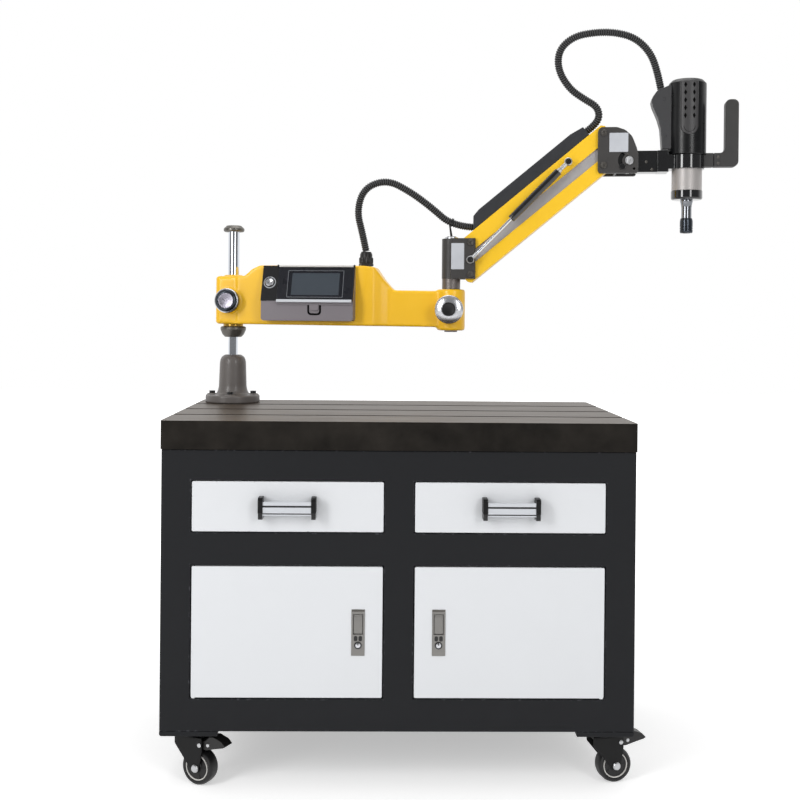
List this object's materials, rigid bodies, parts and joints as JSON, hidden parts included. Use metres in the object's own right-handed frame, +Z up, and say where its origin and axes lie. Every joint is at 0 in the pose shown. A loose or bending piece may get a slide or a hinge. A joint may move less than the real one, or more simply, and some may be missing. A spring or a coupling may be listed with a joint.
{
  "type": "arm tapping machine",
  "caption": "Electric tapping arm with a tilting head and touch panel, clamped to a column on a slotted cast table over a rolling steel cabinet with drawers and doors.",
  "frame": {"origin": "middle of the foot of the bounding box, on the floor", "axes": "+Z up, -Y towards the person at the front of the bench, +X to their right, along the table"},
  "size_m": [1.3178, 0.626, 1.7068],
  "materials": {
    "cast_table": "machined and oiled dark",
    "cabinet_black": "textured black powder coat",
    "zinc_steel": "zinc plated",
    "white_enamel": "smooth white powder coat",
    "handle_chrome": "chrome bar on black ends",
    "latch_grey": "satin",
    "caster_steel": "black",
    "wheel_black": "black with a pale ring",
    "grey_casting": "dark grey paint",
    "chromed_bar": "hard chrome",
    "grey_steel": "blackened",
    "bronze_bush": "plain",
    "yellow_casting": "smooth yellow paint on an aluminium casting",
    "black_case": "black paint",
    "black_plastic": "satin",
    "screen_glass": "gloss, dark",
    "controller_case": "plain",
    "clear_cover": "smoked, clear",
    "knob_steel": "dark ring, bright centre",
    "dark_paint": "dark grey",
    "yellow_steel": "yellow paint on steel",
    "grey_sheet": "grey paint",
    "strut_black": "gloss black",
    "motor_steel": "satin",
    "head_black": "satin black",
    "conduit_rubber": "corrugated black"
  },
  "bodies": {
    "bench": {"table_top": "cast_table", "cabinet_frame": "cabinet_black", "cabinet_panels": "cabinet_black", "drawer_runners": "zinc_steel", "caster_mounts": "caster_steel", "column_socket": "grey_casting", "column": "chromed_bar", "column_stops": "grey_steel"},
    "front_left_caster": {"front_left_fork": "caster_steel"},
    "front_left_wheel_body": {"front_left_wheel": "wheel_black"},
    "front_left_pedal": {"front_left_brake_pedal": "caster_steel"},
    "rear_left_wheel_body": {"rear_left_wheel": "wheel_black"},
    "front_right_caster": {"front_right_fork": "caster_steel"},
    "front_right_wheel_body": {"front_right_wheel": "wheel_black"},
    "front_right_pedal": {"front_right_brake_pedal": "caster_steel"},
    "rear_right_wheel_body": {"rear_right_wheel": "wheel_black"},
    "left_drawer_body": {"left_drawer": "white_enamel", "left_drawer_handle": "handle_chrome"},
    "left_door_body": {"left_door": "white_enamel", "left_latch": "latch_grey"},
    "left_latch_pull_body": {"left_latch_pull": "latch_grey"},
    "left_latch_button_body": {"left_latch_button": "zinc_steel"},
    "right_drawer_body": {"right_drawer": "white_enamel", "right_drawer_handle": "handle_chrome"},
    "right_door_body": {"right_door": "white_enamel", "right_latch": "latch_grey"},
    "right_latch_pull_body": {"right_latch_pull": "latch_grey"},
    "right_latch_button_body": {"right_latch_button": "zinc_steel"},
    "carriage": {"column_bush": "bronze_bush"},
    "arm1": {"arm1_casting": "yellow_casting", "control_box": "black_case", "display_bezel": "black_plastic", "touchscreen": "screen_glass", "drive_controller": "controller_case", "cable_gland": "black_plastic", "arm_conduit": "conduit_rubber"},
    "column_clamp": {"column_knob": "knob_steel"},
    "cover": {"screen_cover": "clear_cover"},
    "button": {"power_button": "handle_chrome"},
    "pivot": {"pivot_shaft": "grey_steel", "pivot_block": "dark_paint"},
    "pivot_clamp": {"arm2_knob": "knob_steel"},
    "upper": {"upper_link": "yellow_steel", "cable_cover": "black_plastic", "head_conduit": "conduit_rubber"},
    "lower": {"lower_link": "yellow_steel", "link_shield": "grey_sheet"},
    "end": {"end_block": "dark_paint"},
    "strut_tubes": {"strut_cylinders": "strut_black"},
    "strut_stems": {"strut_rods": "chromed_bar"},
    "head": {"tilt_bracket": "dark_paint", "head_clamp": "dark_paint", "gear_motor": "motor_steel", "motor_housing": "head_black", "nose_ring": "strut_black", "cable_box": "head_black", "head_handle": "black_plastic"},
    "spindle_body": {"spindle": "chromed_bar"},
    "sleeve": {"chuck_sleeve": "handle_chrome"}
  },
  "joints": [
    {"name": "front_left_swivel", "type": "hinge", "parent": "bench", "child": "front_left_caster", "pos_m": [-0.60092, -0.223, 0.107], "axis": [0, 0, 1], "continuous": true},
    {"name": "front_left_wheel_spin", "type": "hinge", "parent": "front_left_caster", "child": "front_left_wheel_body", "pos_m": [-0.57755, -0.2344, 0.0375], "axis": [0.4384, 0.8988, 0], "continuous": true},
    {"name": "front_left_brake", "type": "hinge", "parent": "front_left_caster", "child": "front_left_pedal", "pos_m": [-0.56856, -0.23878, 0.088], "axis": [0.4384, 0.8988, 0], "range_deg": [0, 12]},
    {"name": "rear_left_wheel_spin", "type": "hinge", "parent": "bench", "child": "rear_left_wheel_body", "pos_m": [-0.60092, 0.249, 0.0375], "axis": [-1, 0, 0], "continuous": true},
    {"name": "front_right_swivel", "type": "hinge", "parent": "bench", "child": "front_right_caster", "pos_m": [0.28308, -0.223, 0.107], "axis": [0, 0, 1], "continuous": true},
    {"name": "front_right_wheel_spin", "type": "hinge", "parent": "front_right_caster", "child": "front_right_wheel_body", "pos_m": [0.30842, -0.21715, 0.0375], "axis": [-0.225, 0.9744, 0], "continuous": true},
    {"name": "front_right_brake", "type": "hinge", "parent": "front_right_caster", "child": "front_right_pedal", "pos_m": [0.31816, -0.2149, 0.088], "axis": [-0.225, 0.9744, 0], "range_deg": [0, 12]},
    {"name": "rear_right_wheel_spin", "type": "hinge", "parent": "bench", "child": "rear_right_wheel_body", "pos_m": [0.28308, 0.249, 0.0375], "axis": [-1, 0, 0], "continuous": true},
    {"name": "left_drawer_slide", "type": "slide", "parent": "bench", "child": "left_drawer_body", "axis": [0, -1, 0], "range_m": [0, 0.35]},
    {"name": "left_door_hinge", "type": "hinge", "parent": "bench", "child": "left_door_body", "pos_m": [-0.58692, -0.279, 0.3355], "axis": [0, 0, -1], "range_deg": [0, 100]},
    {"name": "left_latch_pull_hinge", "type": "hinge", "parent": "left_door_body", "child": "left_latch_pull_body", "pos_m": [-0.24342, -0.28, 0.3712], "axis": [-1, 0, 0], "range_deg": [0, 40]},
    {"name": "left_latch_button_press", "type": "slide", "parent": "left_door_body", "child": "left_latch_button_body", "axis": [0, 1, 0], "range_m": [0, 0.0025], "stiffness_N_per_m": 600, "springref_m": -0.0005},
    {"name": "right_drawer_slide", "type": "slide", "parent": "bench", "child": "right_drawer_body", "axis": [0, -1, 0], "range_m": [0, 0.35]},
    {"name": "right_door_hinge", "type": "hinge", "parent": "bench", "child": "right_door_body", "pos_m": [0.26908, -0.279, 0.3355], "axis": [0, 0, 1], "range_deg": [0, 100]},
    {"name": "right_latch_pull_hinge", "type": "hinge", "parent": "right_door_body", "child": "right_latch_pull_body", "pos_m": [-0.07442, -0.28, 0.3712], "axis": [-1, 0, 0], "range_deg": [0, 40]},
    {"name": "right_latch_button_press", "type": "slide", "parent": "right_door_body", "child": "right_latch_button_body", "axis": [0, 1, 0], "range_m": [0, 0.0025], "stiffness_N_per_m": 600, "springref_m": -0.0005},
    {"name": "arm_height", "type": "slide", "parent": "bench", "child": "carriage", "axis": [0, 0, 1], "range_m": [0, 0.106]},
    {"name": "arm1_swing", "type": "hinge", "parent": "carriage", "child": "arm1", "pos_m": [-0.57592, 0.238, 0.975], "axis": [0, 0, 1], "range_deg": [-90, 90]},
    {"name": "column_knob_turn", "type": "hinge", "parent": "arm1", "child": "column_clamp", "pos_m": [-0.58288, 0.18849, 1.0334], "axis": [0.1392, 0.9903, 0], "range_deg": [-180, 180]},
    {"name": "screen_cover_hinge", "type": "hinge", "parent": "arm1", "child": "cover", "pos_m": [-0.361, 0.15414, 1.1204], "axis": [-0.9903, 0.1392, 0], "range_deg": [0, 110]},
    {"name": "power_button_press", "type": "slide", "parent": "arm1", "child": "button", "axis": [0.1308, 0.9306, -0.3417], "range_m": [0, 0.002], "stiffness_N_per_m": 800, "springref_m": -0.0005},
    {"name": "arm2_swing", "type": "hinge", "parent": "arm1", "child": "pivot", "pos_m": [-0.02632, 0.16076, 1.092], "axis": [0, 0, 1], "range_deg": [-90, 90], "deforming": ["arm_conduit"]},
    {"name": "arm2_knob_turn", "type": "hinge", "parent": "arm1", "child": "pivot_clamp", "pos_m": [-0.03328, 0.11125, 1.016], "axis": [0.1392, 0.9903, 0], "range_deg": [-180, 180]},
    {"name": "arm_lift", "type": "hinge", "parent": "pivot", "child": "upper", "pos_m": [0.0232, 0.1538, 1.181], "axis": [-0.1392, -0.9903, 0], "range_deg": [-50, 8], "deforming": ["arm_conduit"]},
    {"name": "lower_link_swing", "type": "hinge", "parent": "pivot", "child": "lower", "pos_m": [0.0232, 0.1538, 1.103], "axis": [-0.1392, -0.9903, 0], "range_deg": [-50, 8]},
    {"name": "end_block_swing", "type": "hinge", "parent": "upper", "child": "end", "pos_m": [0.33939, 0.10936, 1.44609], "axis": [-0.1392, -0.9903, 0], "range_deg": [-8, 50]},
    {"name": "strut_swing", "type": "hinge", "parent": "upper", "child": "strut_tubes", "pos_m": [0.25558, 0.12114, 1.37582], "axis": [-0.1392, -0.9903, 0], "range_deg": [-1, 3.5]},
    {"name": "strut_stroke", "type": "slide", "parent": "strut_tubes", "child": "strut_stems", "axis": [-0.6955, 0.0978, -0.7118], "range_m": [-0.036, 0.008]},
    {"name": "head_tilt", "type": "hinge", "parent": "end", "child": "head", "pos_m": [0.3993, 0.10094, 1.37859], "axis": [0.1392, 0.9903, 0], "range_deg": [0, 80], "deforming": ["head_conduit"]},
    {"name": "spindle_spin", "type": "hinge", "parent": "head", "child": "spindle_body", "pos_m": [0.53843, 0.08139, 1.28639], "axis": [0, 0, 1], "continuous": true},
    {"name": "chuck_sleeve_lift", "type": "slide", "parent": "spindle_body", "child": "sleeve", "axis": [0, 0, 1], "range_m": [0, 0.004], "stiffness_N_per_m": 300, "springref_m": -0.002}
  ],
  "couplings": [
    {"joint": "lower_link_swing", "follows": "arm_lift", "ratio": 1},
    {"joint": "end_block_swing", "follows": "arm_lift", "ratio": -1},
    {"joint": "strut_swing", "follows": "arm_lift", "ratio": -0.057},
    {"joint": "strut_stroke", "follows": "arm_lift", "m_per_rad": 0.0376}
  ]
}
